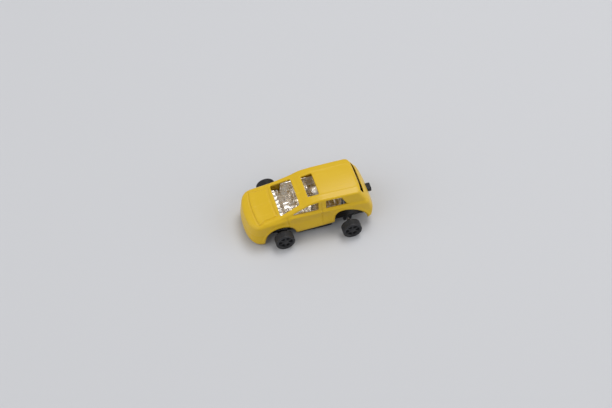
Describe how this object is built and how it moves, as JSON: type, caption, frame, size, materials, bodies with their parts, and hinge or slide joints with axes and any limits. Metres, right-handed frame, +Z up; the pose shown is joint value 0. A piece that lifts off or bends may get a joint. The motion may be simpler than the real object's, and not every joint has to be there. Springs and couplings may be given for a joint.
{
  "type": "plastic toy car",
  "caption": "Small free-rolling toy car: glossy hatchback body with open windows over a metallised cabin tray, clipped to a black floor pan with steel axles and ribbed wheels.",
  "frame": {"origin": "on the ground under the middle of the whole car's box", "axes": "+X towards the nose, +Y to the car's left, +Z up"},
  "size_m": [0.0623, 0.0384, 0.0221],
  "materials": {
    "body": "glossy moulded yellow",
    "interior": "vacuum-metallised, mirror-bright silver",
    "chassis": "satin moulded black",
    "axle": "drawn steel pin",
    "wheel": "satin moulded black"
  },
  "bodies": {
    "car": {"body_shell": "body", "interior_tray": "interior", "chassis": "chassis"},
    "front_pin": {"front_axle": "axle"},
    "front_wheels": {"front_left_wheel": "wheel", "front_right_wheel": "wheel"},
    "rear_pin": {"rear_axle": "axle"},
    "rear_wheels": {"rear_left_wheel": "wheel", "rear_right_wheel": "wheel"}
  },
  "joints": [
    {"name": "front_float", "type": "slide", "parent": "car", "child": "front_pin", "axis": [0, 1, 0], "range_m": [0, 0.002]},
    {"name": "front_spin", "type": "hinge", "parent": "front_pin", "child": "front_wheels", "pos_m": [0.015, 0, 0.00456], "axis": [0, 1, 0], "continuous": true},
    {"name": "rear_float", "type": "slide", "parent": "car", "child": "rear_pin", "axis": [0, 1, 0], "range_m": [-0.002, 0]},
    {"name": "rear_spin", "type": "hinge", "parent": "rear_pin", "child": "rear_wheels", "pos_m": [-0.0168, 0, 0.00456], "axis": [0, 1, 0], "continuous": true}
  ]
}
